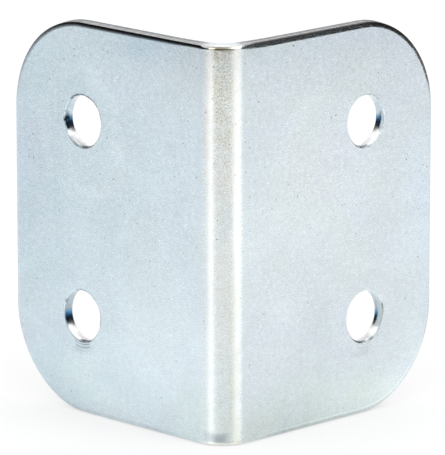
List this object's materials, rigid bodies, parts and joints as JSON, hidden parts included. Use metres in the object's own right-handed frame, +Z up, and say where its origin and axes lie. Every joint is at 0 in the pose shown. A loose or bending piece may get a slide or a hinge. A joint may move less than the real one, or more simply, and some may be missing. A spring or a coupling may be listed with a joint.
{
  "type": "corner brace bracket",
  "caption": "Right-angle corner brace folded from zinc-plated steel sheet, with rounded outer corners and round screw holes in both flanges.",
  "frame": {"origin": "middle of the part's box, at the height of the lower edge that it stands on", "axes": "+Z up along the fold, +X square out of the outer face of the right flange, -Y square out of the outer face of the left flange, so the fold points to +X -Y"},
  "size_m": [0.0298, 0.0298, 0.04],
  "materials": {
    "zinc_plated_steel": "bright zinc plate with a faint blue passivate, satin on the faces, worn bright on the fold and duller on the sheared edges"
  },
  "bodies": {
    "root": {"bracket": "zinc_plated_steel"}
  },
  "joints": []
}
